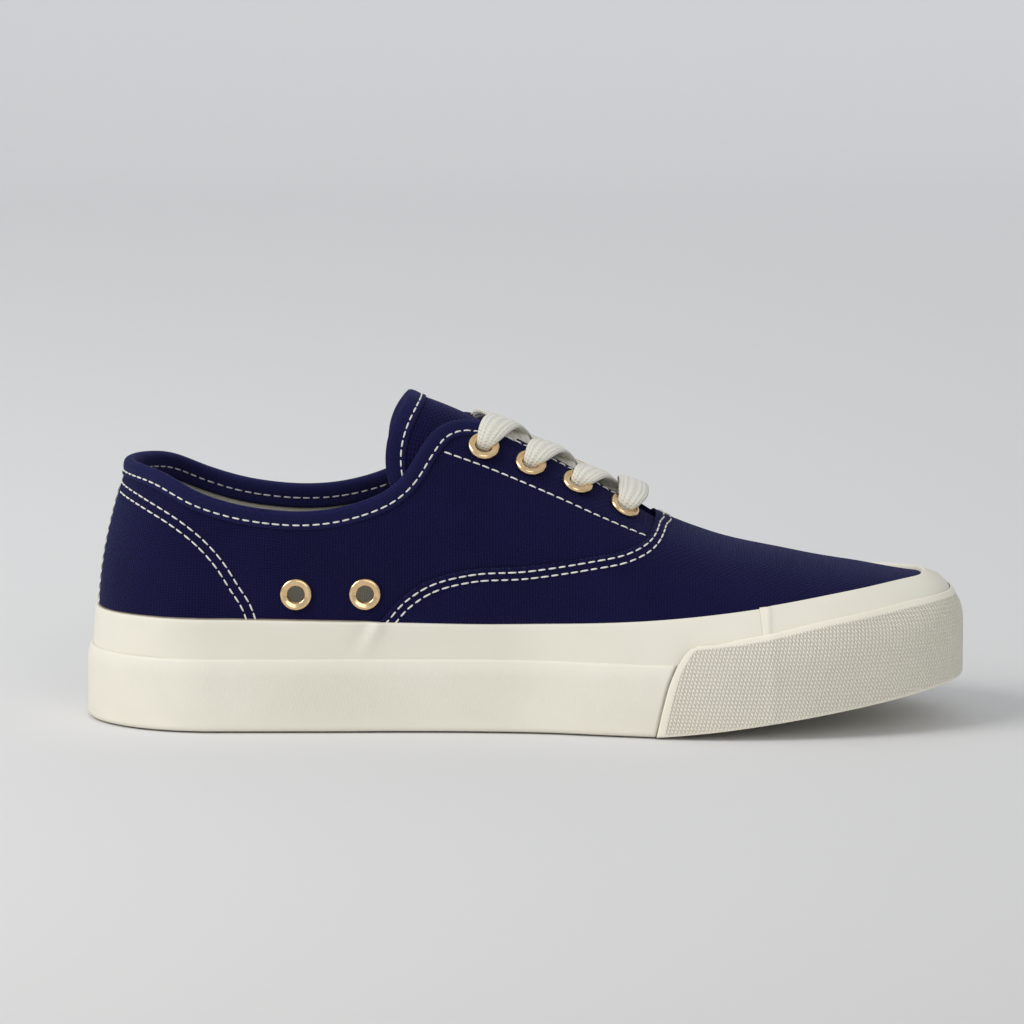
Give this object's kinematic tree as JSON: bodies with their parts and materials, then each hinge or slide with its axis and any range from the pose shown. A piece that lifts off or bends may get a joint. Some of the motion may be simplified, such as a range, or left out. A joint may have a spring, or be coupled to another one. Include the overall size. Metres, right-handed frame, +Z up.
{
  "type": "canvas sneaker",
  "caption": "Left low-top canvas lace-up sneaker with a thick wrapped rubber sole, a ribbed toe bumper, bound collar and brass eyelets",
  "frame": {"origin": "below the middle of the shoe's box, on the floor", "axes": "+X from heel to toe, +Y to the outer side of the foot, +Z up"},
  "size_m": [0.2654, 0.0946, 0.0992],
  "materials": {
    "canvas": "matt woven canvas",
    "binding": "matt folded tape",
    "rubber": "satin off-white rubber",
    "sole_rubber": "matt off-white rubber",
    "lining": "matt cotton",
    "lace": "matt flat weave",
    "eyelet": "polished"
  },
  "bodies": {
    "root": {"outsole": "sole_rubber", "foxing_tape": "rubber", "front_tape": "rubber", "side_band": "rubber", "toe_bumper": "rubber", "upper": "canvas", "collar_binding": "binding", "tongue": "canvas", "tongue_binding": "binding", "insole": "lining", "lace_crossing_1": "lace", "lace_crossing_2": "lace", "lace_crossing_3": "lace", "lace_bar": "lace", "lace_eyelet_medial_1": "eyelet", "lace_eyelet_medial_2": "eyelet", "lace_eyelet_medial_3": "eyelet", "lace_eyelet_medial_4": "eyelet", "lace_eyelet_lateral_1": "eyelet", "lace_eyelet_lateral_2": "eyelet", "lace_eyelet_lateral_3": "eyelet", "lace_eyelet_lateral_4": "eyelet", "vent_eyelet_1": "eyelet", "vent_eyelet_2": "eyelet"}
  },
  "joints": []
}
